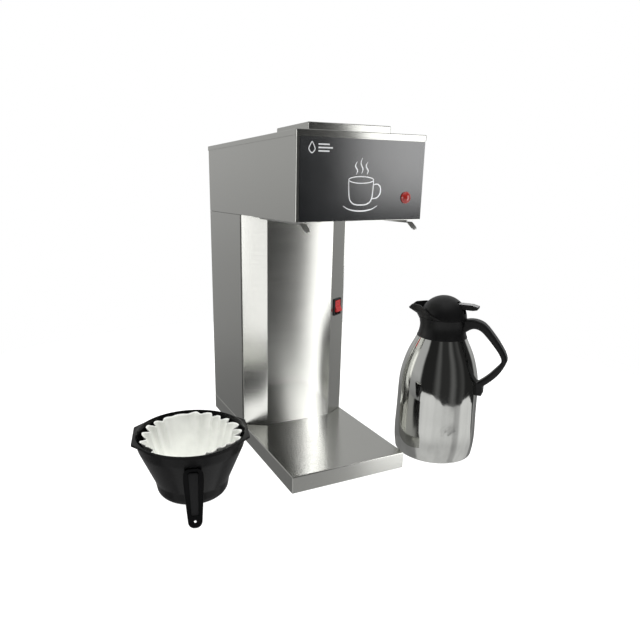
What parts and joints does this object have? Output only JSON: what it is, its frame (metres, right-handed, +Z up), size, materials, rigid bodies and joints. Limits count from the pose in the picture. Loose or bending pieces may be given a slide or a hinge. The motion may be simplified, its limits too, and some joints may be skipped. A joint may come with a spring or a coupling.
{
  "type": "commercial coffee brewer",
  "caption": "Steel pour-over coffee brewer with a lipped head, faceted column and base shelf, beside its lidded vacuum jug and filter basket with paper.",
  "frame": {"origin": "middle of the set's footprint, on the surface it stands on", "axes": "+Z up, -Y the brewer's front, +X to the brewer's right as seen from the front; the jug stands on the +X side and the basket on the -X side"},
  "size_m": [0.5972, 0.4458, 0.5375],
  "materials": {
    "brushed_steel": "brushed satin sheet",
    "plain_steel": "mill-finish sheet",
    "polished_steel": "mirror-polished stainless steel",
    "inner_steel": "drawn stainless steel",
    "fasteners": "bright plated steel",
    "charcoal_panel": "satin charcoal panel with a silver print",
    "black_plastic": "satin moulded plastic",
    "black_moulding": "fine-grained moulding",
    "basket_plastic": "glossy moulded plastic",
    "red_rocker": "translucent red moulding",
    "red_lens": "translucent red lens",
    "rubber": "matt rubber",
    "tank_plastic": "milky moulded plastic",
    "brass": "turned brass",
    "ceramic_fuse": "unglazed ceramic",
    "filter_paper": "crimped bleached filter paper"
  },
  "bodies": {
    "brewer": {"back_cover_screws": "fasteners", "base_bottom_plate": "plain_steel", "base_tray": "brushed_steel", "basket_rail_left": "plain_steel", "basket_rail_right": "plain_steel", "boiler_bracket": "plain_steel", "boiler_tank": "inner_steel", "check_valve": "brass", "column_back_cover": "plain_steel", "column_front_panel": "brushed_steel", "column_housing": "brushed_steel", "foot_screws": "fasteners", "front_fascia": "charcoal_panel", "head_shell": "brushed_steel", "head_underside": "plain_steel", "heating_element": "inner_steel", "inlet_hose": "rubber", "inlet_screws": "fasteners", "lamp_body": "black_moulding", "lamp_lens": "red_lens", "lamp_nut": "black_moulding", "power_inlet": "black_moulding", "rail_rivets": "fasteners", "riser_hose": "rubber", "rubber_feet": "rubber", "spray_head": "inner_steel", "spray_head_nut": "inner_steel", "switch_body": "black_moulding", "tank_gasket": "rubber", "terminal_block": "tank_plastic", "thermal_fuse": "ceramic_fuse", "thermostat": "inner_steel", "top_cover": "brushed_steel", "underside_screws": "fasteners", "water_tank": "tank_plastic"},
    "switch_rocker": {"switch_rocker": "red_rocker"},
    "fill_lid": {"water_lid": "brushed_steel"},
    "jug": {"jug_outer_body": "polished_steel", "jug_base_cap": "black_plastic", "jug_inner_flask": "inner_steel", "jug_collar": "black_plastic", "jug_handle": "black_plastic", "jug_handle_bracket": "black_plastic", "jug_handle_screw": "fasteners"},
    "lid_seal": {"jug_lid_seal": "rubber"},
    "jug_lid": {"jug_lid": "black_plastic", "jug_stopper": "black_plastic", "jug_lever_pin": "inner_steel", "jug_valve_spring": "inner_steel"},
    "thumb_lever": {"jug_lever": "black_plastic"},
    "pouring_valve": {"jug_valve": "black_plastic"},
    "basket": {"basket_bowl": "basket_plastic", "basket_handle": "basket_plastic", "basket_handle_bracket": "basket_plastic", "basket_handle_screws": "fasteners", "basket_grid": "basket_plastic"},
    "paper": {"paper_filter": "filter_paper"}
  },
  "joints": [
    {"name": "rocker_tilt", "type": "hinge", "parent": "brewer", "child": "switch_rocker", "pos_m": [0.10815, 0.04215, 0.238], "axis": [0.8531, 0.5217, 0], "range_deg": [0, 24]},
    {"name": "fill_lid_lift", "type": "slide", "parent": "brewer", "child": "fill_lid", "axis": [0, 0, 1], "range_m": [0, 0.08]},
    {"name": "jug_lift", "type": "slide", "parent": "brewer", "child": "jug", "axis": [0, 0, 1], "range_m": [0, 0.15]},
    {"name": "jug_lid_lift", "type": "slide", "parent": "jug", "child": "lid_seal", "axis": [0, 0, 1], "range_m": [0, 0.09]},
    {"name": "jug_lid_turn", "type": "hinge", "parent": "lid_seal", "child": "jug_lid", "pos_m": [0.22761, -0.11947, 0.2145], "axis": [0, 0, 1], "range_deg": [0, 90]},
    {"name": "lever_press", "type": "hinge", "parent": "jug_lid", "child": "thumb_lever", "pos_m": [0.23956, -0.13551, 0.262], "axis": [0.8018, 0.5976, 0], "range_deg": [0, 12]},
    {"name": "valve_rise", "type": "slide", "parent": "jug_lid", "child": "pouring_valve", "axis": [0, 0, 1], "range_m": [0, 0.0041], "stiffness_N_per_m": 150, "springref_m": -0.001, "deforming": ["jug_valve_spring"]},
    {"name": "basket_lift", "type": "slide", "parent": "brewer", "child": "basket", "axis": [0, 0, 1], "range_m": [0, 0.15]},
    {"name": "paper_lift", "type": "slide", "parent": "basket", "child": "paper", "axis": [0, 0, 1], "range_m": [0, 0.12]}
  ],
  "couplings": [
    {"joint": "lever_press", "follows": "valve_rise", "rad_per_m": 50}
  ]
}
